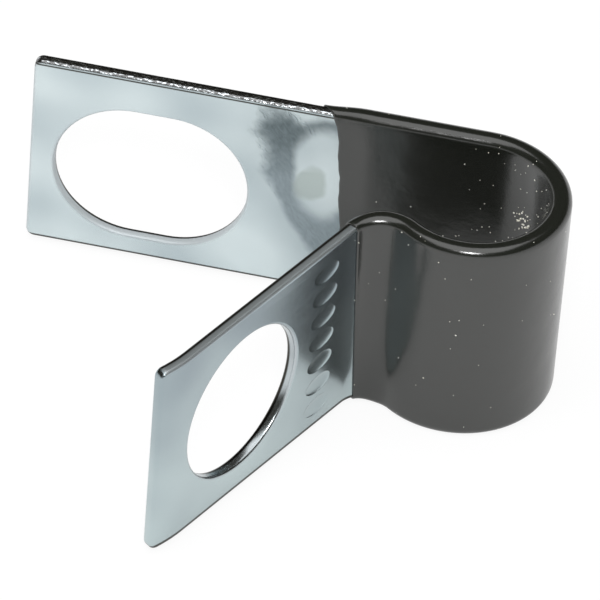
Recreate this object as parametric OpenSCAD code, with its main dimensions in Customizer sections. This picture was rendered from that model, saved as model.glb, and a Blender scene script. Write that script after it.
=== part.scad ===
// Cushioned p clip: one folded flat steel strap whose loop is dipped in soft vinyl.
// All sizes are in millimetres. The origin is on the axis of the loop, at the middle of
// the strap's width. +Z runs along that axis and the back leg lies along X.
// The strap is described once, as a path of straight runs and bends seen from above.
// The steel and the coat are bands of their own thickness and width along that path.

/* [Strap] */
// Width of the flat strap, along the axis of the loop
strap_w = 15.9; // [14:0.1:25]
// Thickness of the flat strap
strap_t = 0.9; // [0.6:0.1:1.5]
// Radius of the rounded corners at both ends of the strap
corner_r = 0.6; // [0.2:0.1:1.5]

/* [Loop] */
// Diameter of the cable bundle that the coated loop fits
bundle_d = 10.3; // [8:0.1:30]
// Angle that the strap turns through round the bundle
loop_angle = 216.5; // [190:0.5:225]
// Radius of the reverse bend, at the middle of the strap's thickness
reverse_r = 2.65; // [2:0.05:6]
// Angle that the reverse bend turns back through
reverse_angle = 100; // [70:1:110]

/* [Back leg] */
// Straight run of the back leg, from its end to the start of the loop
back_l = 32; // [30:0.5:60]
// Distance from the end of the back leg to the middle of the slot
slot_from_end = 8.6; // [8:0.1:12]
// Length of the adjusting slot, end to end
slot_l = 13.7; // [11:0.1:15]
// Width of the adjusting slot
slot_w = 11.1; // [6:0.1:11.3]
// How far the slot lies below the middle of the strap's width
slot_drop = 0.7; // [0:0.1:1]

/* [Front leg] */
// Flat run of the front leg, between the reverse bend and the tip bend
front_l = 17.3; // [15:0.1:40]
// Diameter of the round bolt hole
hole_d = 11.5; // [5:0.1:11.5]
// Distance from the middle of the bolt hole to the tip bend
hole_from_tip_bend = 5.8; // [5.8:0.1:8]
// Radius of the gentle bend at the tip, at the middle of the strap's thickness
tip_r = 11.5; // [6:0.5:20]
// Angle of the gentle bend at the tip, towards the back leg
tip_angle = 14.5; // [6:0.5:25]

/* [Vinyl coat] */
// Thickness of the coat on the faces of the strap
coat_t = 0.3; // [0.2:0.05:0.8]
// Thickness of the coat over the edges of the strap
coat_rim_t = 0.4; // [0.3:0.05:0.9]
// Radius of the coat's rounded rims
coat_rim_r = 0.5; // [0.2:0.05:0.5]
// Length of the back leg that the coat covers
coat_back_l = 10.3; // [4:0.1:12]
// Angle of the reverse bend that the coat leaves bare, before the front leg
coat_bare_angle = 14; // [5:1:60]
// Depth that the round seat for the bundle is cut into the coat
seat_depth = 0.05; // [0.02:0.01:0.1]
// Gap between the coat and the steel under it
coat_gap = 0.02; // [0.01:0.01:0.05]

/* [Hidden] */

$fn = 96;

// Largest angle between two neighbouring corners of a bend
bend_step = 4;
// Number of flats round each corner of the coat's cross section
rim_steps = 4;
// How far a cutter reaches past the faces that it cuts
cut_past = 1;
// Radius of the loop at the middle of the strap's thickness
loop_r = bundle_d / 2 - seat_depth + coat_t + coat_gap + strap_t / 2;

// A path is a list of runs. A straight run is [length], a bend is [radius, angle],
// and a positive angle turns left when seen from above.
loop_bend = [loop_r, -loop_angle];
strap_path = [[back_l], loop_bend, [reverse_r, reverse_angle], [front_l], [tip_r, -tip_angle]];
coat_path = [[coat_back_l], loop_bend, [reverse_r, reverse_angle - coat_bare_angle]];

// A pose is [x, y, heading]. Both paths reach the loop at [0, loop_r, 0], so that it
// turns round the origin.
strap_start = [-back_l, loop_r, 0];
coat_start = [-coat_back_l, loop_r, 0];

// Number of the front leg's run on the strap's path. Only the tip bend follows it.
front_leg_run = len(strap_path) - 2;

// Unit vector to the left of a heading
function left_of(heading) = [-sin(heading), cos(heading)];

// Angle that a run turns through
function turn_of(run) = len(run) == 1 ? 0 : run[1];

// The first part of a run, where share is from 0 to 1
function part_of(run, share) = len(run) == 1 ? [run[0] * share] : [run[0], run[1] * share];

// Pose at the end of a run that starts at the pose from
function run_end(from, run) =
    let (heading = from.z + turn_of(run))
    let (step = len(run) == 1
        ? run[0] * [cos(from.z), sin(from.z)]
        : run[0] * sign(run[1]) * (left_of(from.z) - left_of(heading)))
    [from.x + step.x, from.y + step.y, heading];

// Pose at the start of run number n of a path, or at its end when n is its length
function pose_at(path, start, n) =
    n == 0 ? start : run_end(pose_at(path, start, n - 1), path[n - 1]);

// Poses at all the corners of a path. A straight run has only its ends.
function corner_poses(path, start) = [
    for (n = [0 : len(path) - 1])
        let (steps = max(1, ceil(abs(turn_of(path[n])) / bend_step)))
        for (k = [0 : steps - 1])
            run_end(pose_at(path, start, n), part_of(path[n], k / steps)),
    pose_at(path, start, len(path))
];

// Point beside a pose, to its left by the given distance
function beside(pose, distance) = [pose.x, pose.y] + distance * left_of(pose.z);

// Outline of a band of the given thickness along a path, seen from above
module band(path, start, thickness) {
    poses = corner_poses(path, start);
    left = [for (p = poses) beside(p, thickness / 2)];
    right = [for (i = [len(poses) - 1 : -1 : 0]) beside(poses[i], -thickness / 2)];
    polygon(concat(left, right));
}

// Band along the strap's whole path, grown by a gap on every side
module strap_band(gap = 0) {
    linear_extrude(strap_w + 2 * gap, center = true)
        band(strap_path, strap_start, strap_t + 2 * gap);
}

// Moves its children into the frame of a pose, with +X along the strap and +Y to its left
module at_pose(pose) {
    translate([pose.x, pose.y, 0])
        rotate([0, 0, pose.z])
            children();
}

// Hole cutter across the strap's thickness, for the pose of a flat run
module through_cylinder(d) {
    rotate([90, 0, 0])
        cylinder(h = strap_t + 2 * cut_past, d = d, center = true);
}

// Cutter for the slot with round ends, centred on the pose of a flat run
module slot_cutter() {
    straight = slot_l - slot_w;
    for (side = [-1, 1])
        translate([side * straight / 2, 0, 0])
            through_cylinder(slot_w);
    cube([straight, strap_t + 2 * cut_past, slot_w], center = true);
}

// Cutter that rounds both corners of a strap end. Its pose has +X out of the strap.
module corner_cutter() {
    for (side = [0, 1])
        mirror([0, 0, side])
            translate([-corner_r, 0, strap_w / 2 - corner_r])
                difference() {
                    translate([0, -strap_t / 2 - cut_past, 0])
                        cube([corner_r + cut_past, strap_t + 2 * cut_past, corner_r + cut_past]);
                    rotate([90, 0, 0])
                        cylinder(h = strap_t + 4 * cut_past, r = corner_r, center = true);
                }
}

// Zinc plated steel strap, folded from one flat piece
module steel_strap() {
    color("silver")
        difference() {
            strap_band();
            at_pose(strap_start) {
                translate([slot_from_end, 0, -slot_drop])
                    slot_cutter();
                mirror([1, 0, 0])
                    corner_cutter();
            }
            at_pose(pose_at(strap_path, strap_start, front_leg_run))
                translate([front_l - hole_from_tip_bend, 0, 0])
                    through_cylinder(hole_d);
            at_pose(pose_at(strap_path, strap_start, len(strap_path)))
                corner_cutter();
        }
}

// Cross section of the coat's skin as [beside, up] points, a rectangle with rounded corners
function coat_section(thickness, width) = [
    for (corner = [0 : 3])
        let (side = [[1, 1], [-1, 1], [-1, -1], [1, -1]][corner])
        for (k = [0 : rim_steps])
            let (angle = 90 * (corner + k / rim_steps))
            [side.x * (thickness / 2 - coat_rim_r), side.y * (width / 2 - coat_rim_r)]
                + coat_rim_r * [cos(angle), sin(angle)]
];

// Solid with the given cross section along a path
module loft(path, start, section) {
    poses = corner_poses(path, start);
    n = len(section);
    rings = len(poses);
    points = [for (p = poses) for (q = section) [each beside(p, q.x), q.y]];
    walls = [
        for (i = [0 : rings - 2]) for (k = [0 : n - 1])
            [i * n + k, i * n + (k + 1) % n, (i + 1) * n + (k + 1) % n, (i + 1) * n + k]
    ];
    first = [for (k = [n - 1 : -1 : 0]) k];
    last = [for (k = [0 : n - 1]) (rings - 1) * n + k];
    polyhedron(points, concat([first], walls, [last]));
}

// Soft vinyl coat, a sleeve over the loop and the reverse bend, with rounded rims and a
// round seat for the bundle
module vinyl_coat() {
    coat_w = strap_w + 2 * (coat_gap + coat_rim_t);
    color("#33332f")
        difference() {
            loft(coat_path, coat_start, coat_section(strap_t + 2 * (coat_gap + coat_t), coat_w));
            strap_band(coat_gap);
            cylinder(h = coat_w + 2 * cut_past, d = bundle_d, center = true);
        }
}

steel_strap();
vinyl_coat();
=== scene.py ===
# %% [markdown]
# # A cushioned p clip
# A p clip holds a cable or hose against a panel. It is one strip of zinc plated steel, blanked flat
# with a slot and a round hole, folded round a mandrel, and dipped in soft vinyl where the cable lies.
# The lesson makes it the way the factory does: cut the flat blank, fold it, then coat it.

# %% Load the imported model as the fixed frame
import bpy
import bmesh
import math
from mathutils import Matrix, Vector


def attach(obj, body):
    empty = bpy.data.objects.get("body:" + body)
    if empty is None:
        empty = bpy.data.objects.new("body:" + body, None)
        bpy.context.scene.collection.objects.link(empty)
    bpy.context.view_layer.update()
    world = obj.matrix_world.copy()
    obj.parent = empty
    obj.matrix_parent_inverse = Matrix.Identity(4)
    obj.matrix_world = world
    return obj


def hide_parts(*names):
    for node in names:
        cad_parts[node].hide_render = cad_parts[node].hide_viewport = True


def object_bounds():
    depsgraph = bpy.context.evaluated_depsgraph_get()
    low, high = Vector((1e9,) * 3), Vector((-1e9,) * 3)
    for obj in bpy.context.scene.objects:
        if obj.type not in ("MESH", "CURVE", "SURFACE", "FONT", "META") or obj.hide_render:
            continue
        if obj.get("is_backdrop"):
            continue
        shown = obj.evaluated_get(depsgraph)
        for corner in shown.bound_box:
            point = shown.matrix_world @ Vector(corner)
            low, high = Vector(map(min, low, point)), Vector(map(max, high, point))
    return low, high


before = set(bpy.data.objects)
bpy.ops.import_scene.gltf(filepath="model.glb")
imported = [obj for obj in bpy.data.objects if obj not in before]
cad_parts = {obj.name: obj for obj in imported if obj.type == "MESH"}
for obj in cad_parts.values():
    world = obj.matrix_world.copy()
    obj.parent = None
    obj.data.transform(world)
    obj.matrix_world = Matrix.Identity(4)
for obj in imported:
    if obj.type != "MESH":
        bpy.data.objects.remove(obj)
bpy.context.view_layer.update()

# %% [markdown]
# ## Camera
# The camera comes first, so that every later step can be looked at from the angle that matters.
# It stands a little to the right, about forty degrees above, far away with a long lens, so the
# strap's parallel edges stay almost parallel.

# %% Sizes in metres
MM = 0.001


def mm(*values):
    """Millimetres to metres, as a number or a vector."""
    scaled = [v * MM for v in values]
    return scaled[0] if len(scaled) == 1 else Vector(scaled)


# %% Camera
azimuth, elevation, roll = (math.radians(a) for a in (8.821, 41.294, -4.696))
distance = mm(548.8)
aim = mm(-10.60, -4.99, 0)
back = Vector((
    math.sin(azimuth) * math.cos(elevation),
    -math.cos(azimuth) * math.cos(elevation),
    math.sin(elevation),
))
level = Vector((math.cos(azimuth), math.sin(azimuth), 0))
upright = back.cross(level)
right = math.cos(roll) * level - math.sin(roll) * upright
up = math.sin(roll) * level + math.cos(roll) * upright

camera_data = bpy.data.cameras.new("camera")
camera_data.sensor_width = 36
camera_data.lens = 483.5
camera_data.clip_start = 0.01
camera_data.clip_end = 10
camera = bpy.data.objects.new("camera", camera_data)
bpy.context.scene.collection.objects.link(camera)
turned = Matrix((right, up, back)).transposed().to_4x4()
camera.matrix_world = Matrix.Translation(aim + back * distance) @ turned
bpy.context.scene.camera = camera
print("camera stands at, mm:", [round(v * 1000) for v in camera.location])

# %% [markdown]
# ## The strap's sizes
# These are the sizes of the CAD part. The loop turns round the origin, so its bend starts straight
# above it, at a height of one loop radius, and everything else is measured along the strip from there.

# %% Sizes of the strap
strap_w = mm(15.9)
strap_t = mm(0.9)
corner_r = mm(0.6)
loop_r, loop_angle = mm(5.87), math.radians(216.5)
reverse_r, reverse_angle = mm(2.65), math.radians(100)
tip_r, tip_angle = mm(11.5), math.radians(14.5)
back_l, front_l = mm(32), mm(17.3)

reverse_start = loop_r * loop_angle
front_start = reverse_start + reverse_r * reverse_angle
tip_start = front_start + front_l
strap_end = tip_start + tip_r * tip_angle
print("flat length of the strip, mm:", round((back_l + strap_end) * 1000, 2))

# %% [markdown]
# ## The flat blank
# The press blanks the strip and its two openings in one stroke, and tumbling then rounds every edge
# over, so the strip can't cut a cable. In Blender a two dimensional curve does both: the outline and
# the openings are splines of one filled curve, extruded to the sheet's thickness with a round bevel.

# %% Outlines of the blank
def arc(centre, radius, start, end, steps):
    """Points along an arc of the flat blank, angles in degrees."""
    points = []
    for i in range(steps + 1):
        a = math.radians(start + (end - start) * i / steps)
        points.append((centre[0] + radius * math.cos(a), centre[1] + radius * math.sin(a)))
    return points


def obround(centre, length, width, steps):
    """Outline of a slot with round ends, along the strip."""
    r, half = width / 2, (length - width) / 2
    left = arc((centre[0] - half, centre[1]), r, 90, 270, steps)
    right = arc((centre[0] + half, centre[1]), r, -90, 90, steps)
    return left + right


half_w = strap_w / 2
ends = (-back_l + corner_r, strap_end - corner_r)
outline = (
    arc((ends[0], -half_w + corner_r), corner_r, 180, 270, 6)
    + arc((ends[1], -half_w + corner_r), corner_r, 270, 360, 6)
    + arc((ends[1], half_w - corner_r), corner_r, 0, 90, 6)
    + arc((ends[0], half_w - corner_r), corner_r, 90, 180, 6)
)
# The slot is 13.7 mm by 11.1 mm and a little below the middle, and the hole is 11.5 mm across.
slot_outline = obround((-back_l + mm(8.6), -mm(0.7)), mm(13.7), mm(11.1), 40)
hole_centre = front_start + front_l - mm(5.8)
hole_outline = arc((hole_centre, 0), mm(11.5) / 2, 0, 356.25, 95)
print("points of the outline, slot and hole:", len(outline), len(slot_outline), len(hole_outline))


# %% Blank the strip from the sheet
# The tumbled edges are rounded by 0.26 mm.
rim = mm(0.26)
curve = bpy.data.curves.new("blank_outline", "CURVE")
curve.dimensions = "2D"
curve.fill_mode = "BOTH"
curve.extrude = strap_t / 2 - rim
curve.bevel_depth = rim
curve.bevel_resolution = 4
curve.offset = -rim
for points in (outline, slot_outline, hole_outline):
    spline = curve.splines.new("POLY")
    spline.points.add(len(points) - 1)
    for point, (x, y) in zip(spline.points, points):
        point.co = (x, y, 0, 1)
    spline.use_cyclic_u = True
sheet = bpy.data.objects.new("blank_outline", curve)
bpy.context.scene.collection.objects.link(sheet)
bpy.context.view_layer.update()
blank = bpy.data.meshes.new_from_object(sheet.evaluated_get(bpy.context.evaluated_depsgraph_get()))
bpy.data.objects.remove(sheet)
# The curve lies in XY. The clip's width runs along Z, so the blank is stood on its long edge.
blank.transform(Matrix.Translation((0, loop_r, 0)) @ Matrix.Rotation(math.radians(90), 4, "X"))
print("blank:", len(blank.polygons), "faces")


# %% Mark the cut edges
# Points closer together than this, in metres, are taken as one.
same_point = 1e-7


def mark_cut_edges(mesh):
    """Writes 1 on the faces of the rounded cut edges and 0 on the two rolled sides, for the finish."""
    bm = bmesh.new()
    bm.from_mesh(mesh)
    bmesh.ops.remove_doubles(bm, verts=bm.verts, dist=same_point)
    bmesh.ops.recalc_face_normals(bm, faces=bm.faces)
    bm.normal_update()
    layer = bm.faces.layers.float.new("cut_edge")
    for face in bm.faces:
        face[layer] = 0.0 if abs(face.normal.y) > 0.9999 else 1.0
    print("open edges of the blank:", sum(len(edge.link_faces) != 2 for edge in bm.edges))
    bm.to_mesh(mesh)
    bm.free()


mark_cut_edges(blank)

# %% [markdown]
# ## A helper for nodes
# Geometry and materials are both node trees, so one small function serves them all: it adds a node,
# sets its properties, and fills or links its inputs.

# %% A helper for nodes
def node(tree, kind, settings=None, **links):
    """Adds one node. Settings are its properties. Links go to its inputs by name or by number."""
    made = tree.nodes.new(kind)
    for name, value in (settings or {}).items():
        setattr(made, name, value)
    for name, value in links.items():
        by_number = name[0] == "i" and name[1:].isdigit()
        socket = made.inputs[int(name[1:]) if by_number else name]
        if isinstance(value, bpy.types.NodeSocket):
            tree.links.new(value, socket)
        else:
            socket.default_value = value
    return made


# %% Run a tree on a mesh and keep the result
def run_tree(name, mesh, tree, sizes):
    """Gives a mesh to a tree, sets its named inputs, and returns the result as a plain mesh object."""
    piece = bpy.data.objects.new(name, mesh)
    bpy.context.scene.collection.objects.link(piece)
    modifier = piece.modifiers.new(tree.name, "NODES")
    modifier.node_group = tree
    for item in tree.interface.items_tree:
        if item.in_out == "INPUT" and item.name in sizes:
            modifier[item.identifier] = sizes[item.name]
    bpy.context.view_layer.update()
    made = bpy.data.meshes.new_from_object(piece.evaluated_get(bpy.context.evaluated_depsgraph_get()))
    piece.modifiers.clear()
    piece.data = made
    made.name = name
    print(name, "has", len(made.polygons), "faces")
    return piece


# %% [markdown]
# ## Bright zinc on steel
# The strap is cold rolled steel, electroplated with zinc and passivated, which leaves a bright,
# faintly blue metal with soft clouds in it. A painted map would do, but the strip would have to be
# unwrapped for it. Instead, the folding further down keeps each point's flat position as an
# attribute, masks worked out from it say where each finish lies, and one Principled shader takes
# them all.

# %% Colours
def linear(hex_colour):
    """An sRGB hex value as the linear colour that Blender's sockets take."""
    values = [int(hex_colour[i:i + 2], 16) / 255 for i in (1, 3, 5)]
    return tuple([v / 12.92 if v <= 0.04045 else ((v + 0.055) / 1.055) ** 2.4 for v in values] + [1.0])


def new_material(name):
    """An empty node material and its node tree."""
    material = bpy.data.materials.new(name)
    material.use_nodes = True
    material.node_tree.nodes.clear()
    return material, material.node_tree


# %% Where each point lies on the flat strip
zinc, tree = new_material("bright_zinc_plated_steel")
strip = node(tree, "ShaderNodeAttribute", {"attribute_name": "flat"}).outputs["Vector"]
cut_edge = node(tree, "ShaderNodeAttribute", {"attribute_name": "cut_edge"}).outputs["Fac"]
along, height, across = node(tree, "ShaderNodeSeparateXYZ", i0=strip).outputs
on_front = node(tree, "ShaderNodeMapRange", i0=along, i1=reverse_start, i2=front_start).outputs[0]
on_back = node(tree, "ShaderNodeMath", {"operation": "SUBTRACT"}, i0=1.0, i1=on_front).outputs[0]
print("zinc with its coordinates:", len(tree.nodes), "nodes")

# %% Clouds in the plating
# Clouds are 5 to 8 mm across.
clouds = node(tree, "ShaderNodeTexNoise", Vector=strip, Scale=150.0, Detail=1.0).outputs["Fac"]
clouds = node(tree, "ShaderNodeMapRange", i0=clouds, i1=0.35, i2=0.65).outputs[0]
metal_tone = node(tree, "ShaderNodeMix", {"data_type": "RGBA"},
                  i0=clouds, i6=linear("#B0BCC0"), i7=linear("#CAD5D7")).outputs[2]
# The front leg is painted a little greyer than the back leg, and greyest at its upper edge: painted
# shade for the darker reflection it shows.
front_shade_mask = node(tree, "ShaderNodeMapRange", i0=across, i1=mm(7), i2=-mm(8)).outputs[0]
front_shade_mask = node(tree, "ShaderNodeMix", i0=0.3, i2=front_shade_mask, i3=clouds).outputs[0]
front_painted_shade = node(tree, "ShaderNodeMix", {"data_type": "RGBA"},
                  i0=front_shade_mask, i6=linear("#8D999F"), i7=linear("#BAC7C8")).outputs[2]
metal_tone = node(tree, "ShaderNodeMix", {"data_type": "RGBA"},
                  i0=on_front, i6=metal_tone, i7=front_painted_shade).outputs[2]
print("zinc with clouds:", len(tree.nodes), "nodes")

# %% [markdown]
# ## A painted reflection near the vinyl
# Near the vinyl, a leaning band with fine ripples, round a clear oval, is a painted reflection:
# a darker tone put into the zinc's colour. Each oval is a distance from its own centre, so a Mapping
# node moves, turns and scales the strip until that oval has a radius of one, and noise makes its
# outline wander.

# %% A leaning band and a clear oval
# The clear oval is 4.5 mm by 7.4 mm, and the band of 7 mm by 20 mm runs on under the coat.
lean = math.radians(33.6)
outside = node(tree, "ShaderNodeMapping", {"vector_type": "TEXTURE"}, Vector=strip,
               Location=mm(-10.0, 5.87, -1.14), Rotation=(0, -lean, 0),
               Scale=mm(3.52, 1000, 9.93)).outputs[0]
inside = node(tree, "ShaderNodeMapping", {"vector_type": "TEXTURE"}, Vector=strip,
              Location=mm(-11.2, 5.87, 2.65), Scale=mm(2.25, 1000, 3.7)).outputs[0]
# The noise is 3 mm across.
uneven = node(tree, "ShaderNodeTexNoise", Vector=strip, Scale=320.0, Detail=3.0).outputs["Fac"]
uneven = node(tree, "ShaderNodeMapRange", i0=uneven, i3=-0.3, i4=0.3).outputs[0]
reach = node(tree, "ShaderNodeVectorMath", {"operation": "LENGTH"}, i0=outside).outputs["Value"]
reach = node(tree, "ShaderNodeMath", {"operation": "ADD"}, i0=reach, i1=uneven).outputs[0]
in_band = node(tree, "ShaderNodeMapRange", {"interpolation_type": "SMOOTHSTEP"},
               i0=reach, i1=1.08, i2=0.84).outputs[0]
clear = node(tree, "ShaderNodeVectorMath", {"operation": "LENGTH"}, i0=inside).outputs["Value"]
clear = node(tree, "ShaderNodeMath", {"operation": "ADD"}, i0=clear, i1=uneven).outputs[0]
off_oval = node(tree, "ShaderNodeMapRange", {"interpolation_type": "SMOOTHSTEP"},
                i0=clear, i1=0.82, i2=1.22).outputs[0]
in_ring = node(tree, "ShaderNodeMapRange", {"interpolation_type": "SMOOTHSTEP"},
               i0=clear, i1=1.5, i2=1.2, i3=0.0, i4=0.85).outputs[0]
painted_reflection = node(tree, "ShaderNodeMath", {"operation": "MAXIMUM"}, i0=in_band, i1=in_ring).outputs[0]
painted_reflection = node(tree, "ShaderNodeMath", {"operation": "MULTIPLY"}, i0=painted_reflection, i1=off_oval).outputs[0]
print("zinc with the band's outline:", len(tree.nodes), "nodes")

# %% Ripples in the painted reflection
# Ripples run along the band, 0.35 mm apart and 0.9 mm long.
ripples = node(tree, "ShaderNodeMapping", Vector=outside, Scale=(10, 1, 11)).outputs[0]
ripples = node(tree, "ShaderNodeTexNoise",
               Vector=ripples, Scale=1.0, Detail=3.0, Distortion=1.5).outputs["Fac"]
rippled = node(tree, "ShaderNodeMapRange", i0=ripples, i1=0.35, i2=0.65).outputs[0]
# The painted reflection is darkest towards the strip's upper edge.
reflection_depth = node(tree, "ShaderNodeMapRange", i0=across, i1=mm(1.5), i2=mm(5.0)).outputs[0]
faint_reflection_tone = node(tree, "ShaderNodeMix", {"data_type": "RGBA"},
                  i0=rippled, i6=linear("#838F94"), i7=linear("#8D999E")).outputs[2]
deep_reflection_tone = node(tree, "ShaderNodeMix", {"data_type": "RGBA"},
                   i0=rippled, i6=linear("#636E71"), i7=linear("#727D81")).outputs[2]
painted_reflection_tone = node(tree, "ShaderNodeMix", {"data_type": "RGBA"},
                  i0=reflection_depth, i6=faint_reflection_tone, i7=deep_reflection_tone).outputs[2]
# The band's two tones are mixed into the zinc's colour as a painted reflection.
metal_tone = node(tree, "ShaderNodeMix", {"data_type": "RGBA"},
                  i0=painted_reflection, i6=metal_tone, i7=painted_reflection_tone).outputs[2]
print("zinc with smoke:", len(tree.nodes), "nodes")

# %% A beige spot in the clear oval
# The spot is 2.4 mm across, and the same noise roughens its outline.
spot = node(tree, "ShaderNodeMapping", {"vector_type": "TEXTURE"}, Vector=strip,
            Location=mm(-12.2, 5.87, 1.6), Rotation=(0, lean, 0), Scale=mm(1.1, 1000, 1.4)).outputs[0]
spot = node(tree, "ShaderNodeVectorMath", {"operation": "LENGTH"}, i0=spot).outputs["Value"]
spot = node(tree, "ShaderNodeMath", {"operation": "MULTIPLY_ADD"},
            i0=uneven, i1=3.0, i2=spot).outputs[0]
beige = node(tree, "ShaderNodeMapRange", i0=spot, i1=1.2, i2=0.9, i3=0.0, i4=0.6).outputs[0]
metal_tone = node(tree, "ShaderNodeMix", {"data_type": "RGBA"},
                  i0=beige, i6=metal_tone, i7=linear("#9FAAA5")).outputs[2]
print("zinc with the spot:", len(tree.nodes), "nodes")

# %% [markdown]
# ## The cut edges
# Each cut edge came from another tool. The long sides of the back leg were slit, which leaves them
# torn; their colour is painted darker for the dark room they reflect, with flecks that are partly
# burnished and partly painted glints. The hole's wall was burnished by its punch, the slot's wall took
# a thin chalky film in the bath, and a dark line runs along one corner of each. The face attribute
# says what is a cut edge, and the flat position tells one edge from the next.

# %% Which cut edge is which
# The tone changes from the strip's two sides towards the middle of the cut edge.
from_middle = node(tree, "ShaderNodeMath", {"operation": "SUBTRACT"}, i0=height, i1=loop_r).outputs[0]
depth = node(tree, "ShaderNodeMath", {"operation": "ABSOLUTE"}, i0=from_middle).outputs[0]
inward = node(tree, "ShaderNodeMapRange",
              i0=depth, i1=strap_t / 2, i2=strap_t / 2 - mm(0.07)).outputs[0]
dull = node(tree, "ShaderNodeMath", {"operation": "MULTIPLY"}, i0=inward, i1=cut_edge).outputs[0]
# The end of the front leg was cropped last and stays as bright as the sides.
before_tip = node(tree, "ShaderNodeMapRange",
                  i0=along, i1=strap_end - mm(0.3), i2=strap_end - mm(0.5)).outputs[0]
dull = node(tree, "ShaderNodeMath", {"operation": "MULTIPLY"}, i0=dull, i1=before_tip).outputs[0]
beside = node(tree, "ShaderNodeMath", {"operation": "ABSOLUTE"}, i0=across).outputs[0]
long_edge = node(tree, "ShaderNodeMapRange", i0=beside, i1=mm(7.3), i2=mm(7.6)).outputs[0]
opening = node(tree, "ShaderNodeMath", {"operation": "SUBTRACT"}, i0=dull, i1=long_edge).outputs[0]
opening = node(tree, "ShaderNodeMath", {"operation": "MAXIMUM"}, i0=opening, i1=0.0).outputs[0]
hole_wall = node(tree, "ShaderNodeMath", {"operation": "MULTIPLY"}, i0=opening, i1=on_front).outputs[0]
slot_wall = node(tree, "ShaderNodeMath", {"operation": "MULTIPLY"}, i0=opening, i1=on_back).outputs[0]
slit = node(tree, "ShaderNodeMath", {"operation": "MULTIPLY"}, i0=long_edge, i1=on_back).outputs[0]
slit = node(tree, "ShaderNodeMath", {"operation": "MULTIPLY"}, i0=slit, i1=dull).outputs[0]
print("zinc with its cut edges told apart:", len(tree.nodes), "nodes")

# %% Painted glints, and a dark corner line
# Flecks on the slit edges are 0.3 mm long and 0.1 mm high, partly burnished zinc and partly
# painted glints, near white on a tone that is painted dark for the dark room the edges reflect.
stretched = node(tree, "ShaderNodeMapping", Vector=strip, Scale=(3300, 9000, 3300)).outputs[0]
flecks_and_glints = node(tree, "ShaderNodeTexNoise", Vector=stretched, Scale=1.0, Detail=1.0).outputs["Fac"]
flecks_and_glints = node(tree, "ShaderNodeMapRange", i0=flecks_and_glints, i1=0.53, i2=0.6).outputs[0]
slit_painted_tone = node(tree, "ShaderNodeMix", {"data_type": "RGBA"},
                 i0=flecks_and_glints, i6=linear("#7E7F80"), i7=linear("#EEF5FA")).outputs[2]
edge_tone = node(tree, "ShaderNodeMix", {"data_type": "RGBA"},
                 i0=slit, i6=linear("#B2B9BC"), i7=slit_painted_tone).outputs[2]
# A dark line runs along the corner on the side that the punch and the slitter came out of: the
# outside of the clip on the back leg, and the inside on the front leg.
way_out = node(tree, "ShaderNodeMapRange", i0=on_front, i3=1.0, i4=-1.0).outputs[0]
dark_corner = node(tree, "ShaderNodeMath", {"operation": "MULTIPLY"}, i0=from_middle, i1=way_out).outputs[0]
dark_corner = node(tree, "ShaderNodeMapRange", i0=dark_corner, i1=mm(0.06), i2=mm(0.16)).outputs[0]
edge_tone = node(tree, "ShaderNodeMix", {"data_type": "RGBA"},
                 i0=dark_corner, i6=edge_tone, i7=linear("#35342F")).outputs[2]
surface_tone = node(tree, "ShaderNodeMix", {"data_type": "RGBA"},
                    i0=dull, i6=metal_tone, i7=edge_tone).outputs[2]
print("zinc with flecks and burr:", len(tree.nodes), "nodes")

# %% The film in the slot
# The film is a matt skin, and the dark corner line has none.
bare = node(tree, "ShaderNodeMapRange", i0=dark_corner, i3=0.75, i4=0.0).outputs[0]
film = node(tree, "ShaderNodeMath", {"operation": "MULTIPLY"}, i0=slot_wall, i1=bare).outputs[0]
metallic = node(tree, "ShaderNodeMath", {"operation": "SUBTRACT"}, i0=1.0, i1=film).outputs[0]
print("zinc with the film:", len(tree.nodes), "nodes")

# %% Painted dark lines along the edges
# Dark lines are painted along the bottom of both legs, 0.12 mm wider on the front leg, as painted
# shade for the shadowed floor they reflect, and a thin one along the top of the back leg, as a
# painted reflection of the dark room.
painted_edge_shade = node(tree, "ShaderNodeMath", {"operation": "MULTIPLY_ADD"},
              i0=on_front, i1=-mm(0.12), i2=across).outputs[0]
painted_edge_shade = node(tree, "ShaderNodeMapRange", i0=painted_edge_shade, i1=-mm(7.62), i2=-mm(7.70)).outputs[0]
painted_top_line = node(tree, "ShaderNodeMath", {"operation": "SUBTRACT"}, i0=across, i1=mm(7.66)).outputs[0]
painted_top_line = node(tree, "ShaderNodeMath", {"operation": "ABSOLUTE"}, i0=painted_top_line).outputs[0]
painted_top_line = node(tree, "ShaderNodeMapRange", i0=painted_top_line, i1=mm(0.09), i2=mm(0.04)).outputs[0]
painted_top_line = node(tree, "ShaderNodeMath", {"operation": "MULTIPLY"}, i0=painted_top_line, i1=on_back).outputs[0]
painted_edge_shade = node(tree, "ShaderNodeMath", {"operation": "MAXIMUM"}, i0=painted_edge_shade, i1=painted_top_line).outputs[0]
# The edge lines are painted shade and painted reflection in the colour itself.
surface_tone = node(tree, "ShaderNodeMix", {"data_type": "RGBA"},
                    i0=painted_edge_shade, i6=surface_tone, i7=linear("#474845")).outputs[2]
print("zinc with the rubbed lines:", len(tree.nodes), "nodes")

# %% [markdown]
# ## Gloss and relief
# Bright zinc is a fairly sharp mirror, and its cut edges are duller. Two marks have relief as well
# as colour, the crinkled outline of the painted reflection band and the torn slit edges. Both are far
# too shallow to model, so Bump nodes in a row tilt the shading, each one on top of the last.

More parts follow.
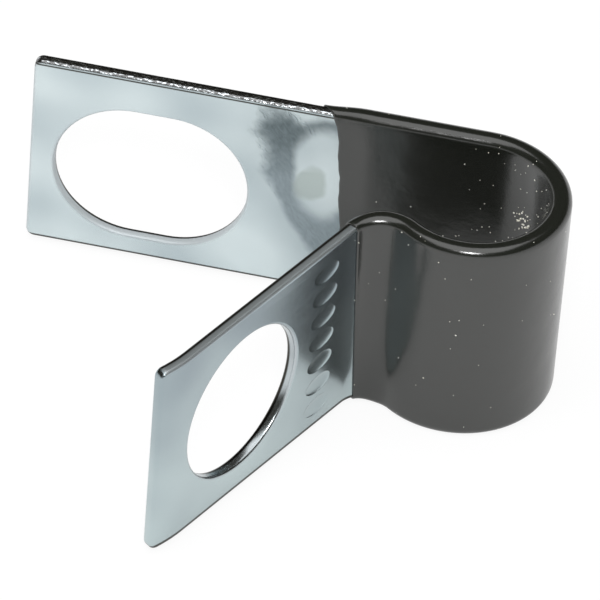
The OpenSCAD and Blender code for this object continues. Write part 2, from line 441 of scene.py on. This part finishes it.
# %% Gloss
# The plating's grain is a few microns, too fine to show, so it is drawn 0.4 mm apart and very faint.
grain = node(tree, "ShaderNodeTexNoise", Vector=strip, Scale=2500.0, Detail=1.0).outputs["Fac"]
gloss = node(tree, "ShaderNodeMapRange", i0=grain, i3=0.2, i4=0.26).outputs[0]
edge_gloss = node(tree, "ShaderNodeMath", {"operation": "MAXIMUM"}, i0=slit, i1=hole_wall).outputs[0]
edge_gloss = node(tree, "ShaderNodeMapRange", i0=edge_gloss, i3=0.5, i4=0.25).outputs[0]
gloss = node(tree, "ShaderNodeMix", i0=dull, i2=gloss, i3=edge_gloss).outputs[0]
print("zinc with its gloss:", len(tree.nodes), "nodes")

# %% Relief, and the shader
# Grain, crinkles and tears are 0.02, 0.06 and 0.03 mm high at most.
grain_high, crinkle_high, tear_high = 0.00002, 0.00006, 0.00003
relief = node(tree, "ShaderNodeBump", Height=grain, Strength=0.02, Distance=grain_high).outputs[0]
# The crinkles follow the band's outline.
border = node(tree, "ShaderNodeMath", {"operation": "SUBTRACT"}, i0=reach, i1=0.98).outputs[0]
border = node(tree, "ShaderNodeMath", {"operation": "ABSOLUTE"}, i0=border).outputs[0]
border = node(tree, "ShaderNodeMapRange", i0=border, i1=0.12, i2=0.02).outputs[0]
border = node(tree, "ShaderNodeMath", {"operation": "MULTIPLY"}, i0=border, i1=off_oval).outputs[0]
relief = node(tree, "ShaderNodeBump",
              Strength=border, Height=ripples, Distance=crinkle_high, Normal=relief).outputs[0]
# The torn edge is rough at 0.3 mm.
torn = node(tree, "ShaderNodeTexNoise", Vector=strip, Scale=3300.0, Detail=2.0).outputs["Fac"]
relief = node(tree, "ShaderNodeBump",
              Strength=slit, Height=torn, Distance=tear_high, Normal=relief).outputs[0]
metal = node(tree, "ShaderNodeBsdfPrincipled",
             i0=surface_tone, Metallic=metallic, Roughness=gloss, Normal=relief)
node(tree, "ShaderNodeOutputMaterial", Surface=metal.outputs[0])
print("finished zinc:", len(tree.nodes), "nodes")

# %% [markdown]
# ## Pressed dimples
# A press leaves a column of shallow marks across the front leg. Here they are plain oval dimples.
# They repeat, so a Geometry Nodes tree puts one ovoid on each point of a line and
# takes them all out of the blank in one Boolean, while it is still flat.

# %% The dimple tree
def dimple_tree(name, finish):
    """Geometry nodes that press a column of oval dimples into a flat side."""
    tree = bpy.data.node_groups.new(name, "GeometryNodeTree")
    tree.interface.new_socket("Geometry", in_out="INPUT", socket_type="NodeSocketGeometry")
    tree.interface.new_socket("Count", in_out="INPUT", socket_type="NodeSocketInt")
    for label in ("First", "Pitch", "Size"):
        tree.interface.new_socket(label, in_out="INPUT", socket_type="NodeSocketVector")
    tree.interface.new_socket("Geometry", in_out="OUTPUT", socket_type="NodeSocketGeometry")
    given = node(tree, "NodeGroupInput").outputs
    column = node(tree, "GeometryNodeMeshLine", i0=given["Count"])
    tree.links.new(given["First"], column.inputs["Start Location"])
    tree.links.new(given["Pitch"], column.inputs["Offset"])
    ovoid = node(tree, "GeometryNodeMeshUVSphere", Segments=36, Rings=18, Radius=0.5).outputs[0]
    placed = node(tree, "GeometryNodeInstanceOnPoints",
                  Points=column.outputs[0], Instance=ovoid, Scale=given["Size"]).outputs[0]
    punches = node(tree, "GeometryNodeRealizeInstances", Geometry=placed).outputs[0]
    pressed = node(tree, "GeometryNodeMeshBoolean", {"operation": "DIFFERENCE", "solver": "EXACT"},
                   i0=given["Geometry"], i1=punches).outputs[0]
    real = node(tree, "GeometryNodeRealizeInstances", Geometry=pressed).outputs[0]
    painted = node(tree, "GeometryNodeSetMaterial", Geometry=real, Material=finish).outputs[0]
    node(tree, "NodeGroupOutput", Geometry=painted)
    return tree


# %% Press the dimples
# Seven dimples 2.7 mm long and 0.12 mm deep stand 2 mm apart, midway between the coat and the hole.
dimples, pitch = 7, mm(2.0)
press = dimple_tree("press_the_dimples", zinc)
pressed = run_tree("pressed_blank", blank, press, {
    "Count": dimples,
    "First": (front_start + mm(3.0), loop_r + strap_t / 2 + mm(0.03), -pitch * (dimples - 1) / 2),
    "Pitch": (0, 0, pitch),
    "Size": (mm(2.7), mm(0.30), mm(1.6)),
})
blank = pressed.data
bpy.data.objects.remove(pressed)

# %% [markdown]
# ## Cuts where it will bend
# A face can't bend inside itself, so the flat blank gets a row of cross cuts wherever it will be
# folded. The legs stay uncut, because they stay flat.

# %% Cross cuts
def cut_rows(mesh, start, end, step):
    """Cuts a flat mesh across the strip, at even steps from start to end."""
    bm = bmesh.new()
    bm.from_mesh(mesh)
    bmesh.ops.remove_doubles(bm, verts=bm.verts, dist=same_point)
    count = max(1, round((end - start) / step))
    for i in range(count + 1):
        bmesh.ops.bisect_plane(
            bm,
            geom=bm.verts[:] + bm.edges[:] + bm.faces[:],
            dist=same_point,
            plane_co=(start + (end - start) * i / count, 0, 0),
            plane_no=(1, 0, 0),
        )
    bm.to_mesh(mesh)
    bm.free()


# The two tight bends are cut at every 4 degrees, and the wide one at the tip at every 1.5 degrees.
cut_rows(blank, 0, reverse_start, loop_r * math.radians(4))
cut_rows(blank, reverse_start, front_start, reverse_r * math.radians(4))
cut_rows(blank, tip_start, strap_end - mm(0.02), tip_r * math.radians(1.5))
print("blank with cross cuts:", len(blank.polygons), "faces")


# %% Smooth bends and crisp rims
# A face belongs to a flat side when all its corners are this close to it, in metres.
flat_within = 2e-6


def mark_rims(mesh):
    """Smooths every face, and keeps an edge sharp where a flat side meets a rim or a dimple."""
    bm = bmesh.new()
    bm.from_mesh(mesh)
    bmesh.ops.recalc_face_normals(bm, faces=bm.faces)
    for face in bm.faces:
        face.smooth = True
    for edge in bm.edges:
        sides = [
            all(abs(abs(vert.co.y - loop_r) - strap_t / 2) < flat_within for vert in face.verts)
            for face in edge.link_faces
        ]
        edge.smooth = not (len(sides) == 2 and sides[0] != sides[1])
    print("sharp edges:", sum(not edge.smooth for edge in bm.edges))
    bm.to_mesh(mesh)
    bm.free()


mark_rims(blank)

# %% [markdown]
# ## Folding with Geometry Nodes
# Each bend is the same rule: what lies before it stays, what lies in it wraps round a centre, and what
# lies beyond it swings round as one. A node tree applies that rule three times, from the tip back
# to the loop, and its inputs are the sizes that a toolmaker would set. The flat position is stored
# first, because a finish such as rolling grain follows the strip and not the room.

# %% The folding tree
def folding_tree(name, finish):
    """Geometry nodes that fold a flat strip, with one bend for each radius and angle."""
    tree = bpy.data.node_groups.new(name, "GeometryNodeTree")
    tree.interface.new_socket("Geometry", in_out="INPUT", socket_type="NodeSocketGeometry")
    for label in ("Loop radius", "Loop angle", "Reverse radius", "Reverse angle", "Front length",
                  "Tip radius", "Tip angle"):
        tree.interface.new_socket(label, in_out="INPUT", socket_type="NodeSocketFloat")
    tree.interface.new_socket("Geometry", in_out="OUTPUT", socket_type="NodeSocketGeometry")
    given = node(tree, "NodeGroupInput").outputs
    flat = node(tree, "GeometryNodeInputPosition").outputs[0]
    kept = node(tree, "GeometryNodeStoreNamedAttribute", {"data_type": "FLOAT_VECTOR"},
                Geometry=given["Geometry"], Name="flat", Value=flat).outputs[0]
    stored = node(tree, "GeometryNodeInputNamedAttribute", {"data_type": "FLOAT_VECTOR"}, Name="flat")
    along = node(tree, "ShaderNodeSeparateXYZ", i0=stored.outputs[0]).outputs[0]

    loop_arc = node(tree, "ShaderNodeMath", {"operation": "MULTIPLY"},
                    i0=given["Loop radius"], i1=given["Loop angle"]).outputs[0]
    reverse_arc = node(tree, "ShaderNodeMath", {"operation": "MULTIPLY"},
                       i0=given["Reverse radius"], i1=given["Reverse angle"]).outputs[0]
    tip_arc = node(tree, "ShaderNodeMath", {"operation": "MULTIPLY"},
                   i0=given["Tip radius"], i1=given["Tip angle"]).outputs[0]
    front = node(tree, "ShaderNodeMath", {"operation": "ADD"}, i0=loop_arc, i1=reverse_arc).outputs[0]
    tip = node(tree, "ShaderNodeMath", {"operation": "ADD"},
               i0=front, i1=given["Front length"]).outputs[0]
    bends = [
        (tip, given["Tip radius"], tip_arc, -1.0),
        (loop_arc, given["Reverse radius"], reverse_arc, 1.0),
        (0.0, given["Loop radius"], loop_arc, -1.0),
    ]
    place = stored.outputs[0]
    for start, radius, length, side in bends:
        past = node(tree, "ShaderNodeMath", {"operation": "SUBTRACT"}, i0=along, i1=start).outputs[0]
        past = node(tree, "ShaderNodeMath", {"operation": "MAXIMUM"}, i0=past, i1=0.0).outputs[0]
        wrapped = node(tree, "ShaderNodeMath", {"operation": "MINIMUM"}, i0=past, i1=length).outputs[0]
        pulled = node(tree, "ShaderNodeCombineXYZ", X=wrapped).outputs[0]
        shifted = node(tree, "ShaderNodeVectorMath", {"operation": "SUBTRACT"},
                       i0=place, i1=pulled).outputs[0]
        turn = node(tree, "ShaderNodeMath", {"operation": "DIVIDE"}, i0=wrapped, i1=radius).outputs[0]
        turn = node(tree, "ShaderNodeMath", {"operation": "MULTIPLY"}, i0=turn, i1=side).outputs[0]
        lift = node(tree, "ShaderNodeMath", {"operation": "MULTIPLY"}, i0=radius, i1=side).outputs[0]
        lift = node(tree, "ShaderNodeMath", {"operation": "ADD"},
                    i0=given["Loop radius"], i1=lift).outputs[0]
        centre = node(tree, "ShaderNodeCombineXYZ", X=start, Y=lift).outputs[0]
        place = node(tree, "ShaderNodeVectorRotate", {"rotation_type": "Z_AXIS"},
                     Vector=shifted, Center=centre, Angle=turn).outputs[0]
    folded = node(tree, "GeometryNodeSetPosition", Geometry=kept, Position=place).outputs[0]
    real = node(tree, "GeometryNodeRealizeInstances", Geometry=folded).outputs[0]
    painted = node(tree, "GeometryNodeSetMaterial", Geometry=real, Material=finish).outputs[0]
    node(tree, "NodeGroupOutput", Geometry=painted)
    return tree


# %% Sizes for the folding tree
fold_sizes = {
    "Loop radius": loop_r, "Loop angle": loop_angle,
    "Reverse radius": reverse_r, "Reverse angle": reverse_angle,
    "Front length": front_l,
    "Tip radius": tip_r, "Tip angle": tip_angle,
}


# %% [markdown]
# ## Fold the strap
# The tree gets the flat blank and the sizes, and the result is kept as a plain mesh.

# %% Fold the strap
fold = folding_tree("fold_the_strip", zinc)
strap = run_tree("folded_strap", blank, fold, fold_sizes)
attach(strap, "root")
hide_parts("steel_strap")

# %% [markdown]
# ## The vinyl coat
# The folded strap is heated and dipped in liquid vinyl, which cures to a soft skin. It is a closed
# sleeve round the strip, a little thicker over the edges, and it thins to a rounded lip at both ends.
# It is lofted flat from rounded sections, and then the same tree folds it with the strap.

# %% Sizes of the coat
coat_t = mm(0.3)
coat_rim = mm(0.4)
gap = mm(0.02)
coat_start = -mm(10.3)
coat_end = front_start - reverse_r * math.radians(14)
print("the coat covers, mm of the strip:", round((coat_end - coat_start) * 1000, 2))


# %% One section of the sleeve
def lerp(a, b, share):
    """A value part of the way from a to b."""
    return a + (b - a) * share


def rounded_section(x, half_thick, half_wide, radius, steps=8, rows=24):
    """A ring of points round the strip: a rectangle with round corners, at one place along it."""
    ring = []
    flat_t, flat_w = half_thick - radius, half_wide - radius
    corners = [(1, 1, 0), (-1, 1, 90), (-1, -1, 180), (1, -1, 270)]
    for i, (sy, sz, turn) in enumerate(corners):
        for k in range(steps + 1):
            a = math.radians(turn + 90 * k / steps)
            ring.append((x, sy * flat_t + radius * math.cos(a), sz * flat_w + radius * math.sin(a)))
        ny, nz, _ = corners[(i + 1) % 4]
        a = math.radians(turn + 90)
        last = ring[-1]
        first = (x, ny * flat_t + radius * math.cos(a), nz * flat_w + radius * math.sin(a))
        count = rows if i % 2 else 2
        for k in range(1, count):
            ring.append(tuple(lerp(last[axis], first[axis], k / count) for axis in range(3)))
    return ring


# %% The skin's thickness
def skin_share(distance):
    """The skin's thickness as a share of the full one: a round lip, then a slow rise from the end."""
    lip, rise = mm(0.12), mm(2.5)
    on_lip = 1 - min(distance / lip, 1)
    on_rise = min(distance / rise, 1)
    return 0.4 * math.sqrt(1 - on_lip ** 2) + 0.6 * on_rise * on_rise * (3 - 2 * on_rise)


for distance in (0, 0.12, 1, 2.5):
    print("skin", distance, "mm from its end, as a share:", round(skin_share(mm(distance)), 2))


# %% The sleeve's sections
def stations(length):
    """Distances along the sleeve, close together at its two lips and even between them."""
    close = [mm(v) for v in (0, 0.01, 0.03, 0.06, 0.09, 0.12, 0.3, 0.6, 0.9, 1.3, 1.7, 2.1, 2.5)]
    count = 120
    even = [lerp(close[-1], length - close[-1], k / count) for k in range(1, count)]
    return close + even + [length - d for d in reversed(close)]


def sleeve_rings(length):
    """Sections along the outside of the sleeve, and then back along its inside."""
    # A section's sizes are half its thickness, half its width, and the radius of its corners.
    inner = (strap_t / 2 + gap, strap_w / 2 + gap, mm(0.38))
    outer = (inner[0] + coat_t, inner[1] + coat_rim, mm(0.68))
    distances = stations(length)
    rings = []
    for distance in distances:
        share = max(0.02, skin_share(min(distance, length - distance)))
        sizes = [lerp(a, b, share) for a, b in zip(inner, outer)]
        rings.append(rounded_section(coat_start + distance, *sizes))
    rings += [rounded_section(coat_start + distance, *inner) for distance in reversed(distances)]
    return rings


rings = sleeve_rings(coat_end - coat_start)
print("sections of the sleeve:", len(rings), "with", len(rings[0]), "points each")

# %% The dip lines
# The clip hung a little askew in the bath, so both dip lines slope across the strip, 0.07 mm for
# each millimetre of width. Both slope and climb fade out 6 mm into the coat.
dip_tilt = 0.07
dip_fade = mm(6)


def dip_climb(y, z):
    """How much further the vinyl reaches at a place of the section: it wets the edges and climbs."""
    edge = max(0.0, (abs(z) / (strap_w / 2) - 0.6) / 0.4) ** 2
    far = (y / (strap_t / 2) + 1) / 2
    wave = 0.05 * math.sin(z / mm(0.62) + 1) + 0.03 * math.sin(z / mm(0.23))
    return mm(0.3) * edge + mm(0.9) * max(0.0, min(far, 1.0)) + mm(wave - 0.25)


def dipped(x, y, z):
    """Moves a point of the sleeve along the strip with its dip line, and up to where the blank is."""
    at_start = max(0.0, 1 - (x - coat_start) / dip_fade)
    at_end = max(0.0, 1 - (coat_end - x) / dip_fade)
    moved = dip_tilt * z * (at_end - at_start) - dip_climb(y, z) * at_start
    return x + moved, y + loop_r, z


rings = [[dipped(*point) for point in ring] for ring in rings]
first_line = [point[0] for point in rings[0]]
print("the dip line wanders over, mm:", round((max(first_line) - min(first_line)) * 1000, 2))


# %% Loft the sleeve flat
def closed_loft(name, rings):
    """A mesh with one face between neighbours, where the last ring also meets the first one."""
    n, m = len(rings[0]), len(rings)
    faces = []
    for i in range(m):
        for k in range(n):
            a, b = i * n + k, i * n + (k + 1) % n
            c, d = ((i + 1) % m) * n + (k + 1) % n, ((i + 1) % m) * n + k
            faces.append((a, b, c, d))
    mesh = bpy.data.meshes.new(name)
    mesh.from_pydata([point for ring in rings for point in ring], [], faces)
    bm = bmesh.new()
    bm.from_mesh(mesh)
    bmesh.ops.recalc_face_normals(bm, faces=bm.faces)
    for face in bm.faces:
        face.smooth = True
    bm.to_mesh(mesh)
    bm.free()
    return mesh


flat_sleeve = closed_loft("flat_sleeve", rings)
print("flat sleeve:", len(flat_sleeve.polygons), "faces")

# %% [markdown]
# ## Dipped vinyl
# Plastisol vinyl cures glossy and near black, with a surface that is smooth but never quite even.
# It sags a little before it sets, so its highlights wander, and a fine peel breaks them up. Both
# are noise on a Bump node, a low wide one and a small one, as neither changes the outline.

# %% Dipped vinyl
vinyl, tree = new_material("dipped_black_vinyl")
place = node(tree, "ShaderNodeTexCoord").outputs["Object"]
# The skin pools and sags over 2 to 4 mm.
sag = node(tree, "ShaderNodeTexNoise", Vector=place, Scale=300.0, Detail=1.0).outputs["Fac"]
wander = node(tree, "ShaderNodeBump", Height=sag, Strength=0.3, Distance=0.0002).outputs[0]
# Bubbles that burst as it cured leave a peel 0.4 mm apart, which breaks the streaks on the rims.
peel = node(tree, "ShaderNodeTexNoise", Vector=place, Scale=2500.0, Detail=2.0).outputs["Fac"]
wander = node(tree, "ShaderNodeBump",
              Height=peel, Strength=0.16, Distance=0.00004, Normal=wander).outputs[0]
skin = node(tree, "ShaderNodeBsdfPrincipled",
            i0=linear("#191B17"), Roughness=0.2, IOR=1.53, Normal=wander)
skin.inputs["Specular IOR Level"].default_value = 0.8
node(tree, "ShaderNodeOutputMaterial", Surface=skin.outputs[0])
print("vinyl:", len(tree.nodes), "nodes")

# %% Fold the sleeve with the strap
fold_coat = folding_tree("fold_the_sleeve", vinyl)
coat = run_tree("dipped_coat", flat_sleeve, fold_coat, fold_sizes)
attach(coat, "root")
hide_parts("vinyl_coat")

# %% [markdown]
# ## Dust
# Static draws dust and a few crumbs of flash onto the vinyl, and the glossy black shows each speck.
# Specks repeat at random over a surface, which is what Distribute Points on Faces is for. Its density
# is a field, so the same tree gathers a cluster of crumbs inside the loop.

# %% Pale dust
dust_finish, tree = new_material("pale_dust")
place = node(tree, "ShaderNodeTexCoord").outputs["Object"]
# Specks differ in tone from one to the next, over about 0.5 mm.
tones = node(tree, "ShaderNodeTexNoise", Vector=place, Scale=2000.0, Detail=0.0).outputs["Fac"]
tones = node(tree, "ShaderNodeMix", {"data_type": "RGBA"},
             i0=tones, i6=linear("#C4BFAB"), i7=linear("#FFFFFA")).outputs[2]
fluff = node(tree, "ShaderNodeBsdfPrincipled", i0=tones, Roughness=0.9)
node(tree, "ShaderNodeOutputMaterial", Surface=fluff.outputs[0])
print("dust:", len(tree.nodes), "nodes")


# %% The dust tree
def dust_tree(name, finish):
    """Geometry nodes that scatter small specks, denser in the loop and near one place."""
    tree = bpy.data.node_groups.new(name, "GeometryNodeTree")
    tree.interface.new_socket("Geometry", in_out="INPUT", socket_type="NodeSocketGeometry")
    tree.interface.new_socket("Cluster centre", in_out="INPUT", socket_type="NodeSocketVector")
    for label in ("Density", "Loop density", "Loop radius", "Cluster density", "Cluster radius",
                  "Speck size", "Crumb size"):
        tree.interface.new_socket(label, in_out="INPUT", socket_type="NodeSocketFloat")
    tree.interface.new_socket("Geometry", in_out="OUTPUT", socket_type="NodeSocketGeometry")
    given = node(tree, "NodeGroupInput").outputs
    where = node(tree, "GeometryNodeInputPosition").outputs[0]
    away = node(tree, "ShaderNodeVectorMath", {"operation": "DISTANCE"},
                i0=where, i1=given["Cluster centre"]).outputs["Value"]
    nearness = node(tree, "ShaderNodeMapRange",
                    i0=away, i1=given["Cluster radius"], i2=0.0).outputs[0]
    # The loop turns round the Z axis, so a point's distance from that axis says if it is inside.
    level_place = node(tree, "ShaderNodeVectorMath", {"operation": "MULTIPLY"},
                       i0=where, i1=(1, 1, 0)).outputs[0]
    radius = node(tree, "ShaderNodeVectorMath", {"operation": "LENGTH"}, i0=level_place).outputs["Value"]
    in_loop = node(tree, "ShaderNodeMath", {"operation": "LESS_THAN"},
                   i0=radius, i1=given["Loop radius"]).outputs[0]
    density = node(tree, "ShaderNodeMix",
                   i0=in_loop, i2=given["Density"], i3=given["Loop density"]).outputs[0]
    density = node(tree, "ShaderNodeMix",
                   i0=nearness, i2=density, i3=given["Cluster density"]).outputs[0]
    spread = node(tree, "GeometryNodeDistributePointsOnFaces",
                  Mesh=given["Geometry"], Density=density, Seed=11)
    speck = node(tree, "GeometryNodeMeshIcoSphere", Radius=0.5, Subdivisions=1).outputs[0]
    size = node(tree, "ShaderNodeMix",
                i0=nearness, i2=given["Speck size"], i3=given["Crumb size"]).outputs[0]
    uneven = node(tree, "FunctionNodeRandomValue", {"data_type": "FLOAT_VECTOR"},
                  i0=(0.4, 0.4, 0.4), i1=(1.3, 1.3, 2.4), Seed=5).outputs[0]
    scale = node(tree, "ShaderNodeVectorMath", {"operation": "SCALE"}, i0=uneven, Scale=size).outputs[0]
    turn = node(tree, "FunctionNodeRandomValue", {"data_type": "FLOAT_VECTOR"},
                i0=(0, 0, 0), i1=(math.tau, math.tau, math.tau), Seed=6).outputs[0]
    placed = node(tree, "GeometryNodeInstanceOnPoints", Points=spread.outputs[0], Instance=speck,
                  Rotation=turn, Scale=scale).outputs[0]
    real = node(tree, "GeometryNodeRealizeInstances", Geometry=placed).outputs[0]
    painted = node(tree, "GeometryNodeSetMaterial", Geometry=real, Material=finish).outputs[0]
    node(tree, "NodeGroupOutput", Geometry=painted)
    return tree


# %% Scatter the dust
# Specks are 0.07 mm across and some are longer: one on every 8 square millimetres, and four on
# every 5 inside the loop, where they stay. The cluster's crumbs are 0.26 mm across.
scatter = dust_tree("scatter_the_dust", dust_finish)
dust = run_tree("dust_specks", coat.data.copy(), scatter, {
    "Cluster centre": tuple(mm(2.95, 4.18, 2.5)),
    "Cluster radius": mm(1.3),
    "Density": 0.12e6,
    "Loop density": 0.8e6,
    "Loop radius": loop_r - strap_t / 2,
    "Cluster density": 12e6,
    "Speck size": mm(0.07),
    "Crumb size": mm(0.26),
})
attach(dust, "root")

# %% [markdown]
# ## Table, light and background
# The clip stands on its edge on a pale table, in an even white surround. Camera and mirror rays see
# the surround as white, and the table still takes the clip's shadow. A small key lamp near the
# camera draws the short glints on the rims, a wide one overhead draws the long streaks, and a soft
# lamp from the left fills the shadows.

# %% A level sheet
def level_sheet(name, half, height, corner_order):
    """A square sheet at one height. The order of its corners says which way it faces."""
    corners = [(-half, -half), (half, -half), (half, half), (-half, half)]
    mesh = bpy.data.meshes.new(name)
    mesh.from_pydata([(x, y, height) for x, y in corners], [], [corner_order])
    sheet = bpy.data.objects.new(name, mesh)
    bpy.context.scene.collection.objects.link(sheet)
    print(name, "lies at, mm:", round(height * 1000, 2))
    return sheet


# %% Table
low = min(corner.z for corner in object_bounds())
table = level_sheet("table", half=1.5, height=low, corner_order=(0, 1, 2, 3))
table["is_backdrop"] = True

paper, tree = new_material("white_paper")
rays = node(tree, "ShaderNodeLightPath").outputs
# Camera rays see the paper almost evenly white. In a reflection it keeps more of its shading.
mirrored = node(tree, "ShaderNodeMath", {"operation": "MULTIPLY"}, i0=rays["Is Glossy Ray"], i1=0.35)
seen = node(tree, "ShaderNodeMath", {"operation": "MAXIMUM"},
            i0=rays["Is Camera Ray"], i1=rays["Is Transmission Ray"])
seen = node(tree, "ShaderNodeMath", {"operation": "MAXIMUM"},
            i0=seen.outputs[0], i1=mirrored.outputs[0])
matt = node(tree, "ShaderNodeBsdfDiffuse", Color=linear("#F4F4F4"))
glow = node(tree, "ShaderNodeEmission", Color=(1, 1, 1, 1), Strength=1.0)
share = node(tree, "ShaderNodeMath", {"operation": "MULTIPLY"}, i0=seen.outputs[0], i1=0.9)
mixed = node(tree, "ShaderNodeMixShader", i0=share.outputs[0], i1=matt.outputs[0], i2=glow.outputs[0])
node(tree, "ShaderNodeOutputMaterial", Surface=mixed.outputs[0])
table.data.materials.append(paper)

# %% Surround
world = bpy.data.worlds.new("surround")
world.use_nodes = True
world.node_tree.nodes.clear()
tree = world.node_tree
rays = node(tree, "ShaderNodeLightPath").outputs
seen = node(tree, "ShaderNodeMath", {"operation": "MAXIMUM"},
            i0=rays["Is Camera Ray"], i1=rays["Is Glossy Ray"])
seen = node(tree, "ShaderNodeMath", {"operation": "MAXIMUM"},
            i0=seen.outputs[0], i1=rays["Is Transmission Ray"])
soft = node(tree, "ShaderNodeBackground", Color=(1, 1, 1, 1), Strength=0.45)
white = node(tree, "ShaderNodeBackground", Color=(1, 1, 1, 1), Strength=1.0)
mixed = node(tree, "ShaderNodeMixShader", i0=seen.outputs[0], i1=soft.outputs[0], i2=white.outputs[0])
node(tree, "ShaderNodeOutputWorld", Surface=mixed.outputs[0])
bpy.context.scene.world = world
print("surround:", len(tree.nodes), "nodes")


# %% Dark ceiling
# The lit table is bright, but the room over it is dark, and shiny edges that face up show that.
# The ceiling is a card that only mirror rays see, so it takes no light from the clip.
ceiling = level_sheet("dark_ceiling", half=4.0, height=0.9, corner_order=(3, 2, 1, 0))
ceiling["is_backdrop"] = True
for unseen in ("camera", "diffuse", "transmission", "volume_scatter", "shadow"):
    setattr(ceiling, "visible_" + unseen, False)
dark, tree = new_material("dark_room")
dim = node(tree, "ShaderNodeEmission", Color=linear("#38362F"), Strength=1.0)
node(tree, "ShaderNodeOutputMaterial", Surface=dim.outputs[0])
ceiling.data.materials.append(dark)


# %% Lamps
def lamp(name, azimuth_deg, elevation_deg, far, size, power):
    """A square soft lamp that faces the clip, from a direction given in degrees."""
    turn, rise = math.radians(azimuth_deg), math.radians(elevation_deg)
    forward = math.cos(rise)
    place = far * Vector((math.sin(turn) * forward, -math.cos(turn) * forward, math.sin(rise)))
    data = bpy.data.lights.new(name, "AREA")
    data.shape = "SQUARE"
    data.size = size
    data.energy = power
    made = bpy.data.objects.new(name, data)
    bpy.context.scene.collection.objects.link(made)
    made.location = place
    made.rotation_euler = (-place).to_track_quat("-Z", "Y").to_euler()
    print(name, "stands at, mm:", [round(v * 1000) for v in place])
    return made


lamp("key_lamp", azimuth_deg=8, elevation_deg=50, far=0.6, size=0.11, power=1.6)
lamp("overhead_softbox", azimuth_deg=8, elevation_deg=86, far=0.6, size=0.6, power=2.0)
fill = lamp("fill_softbox", azimuth_deg=-55, elevation_deg=40, far=0.7, size=0.35, power=1.2)
fill.visible_glossy = False
bpy.context.scene.view_settings.view_transform = "Standard"
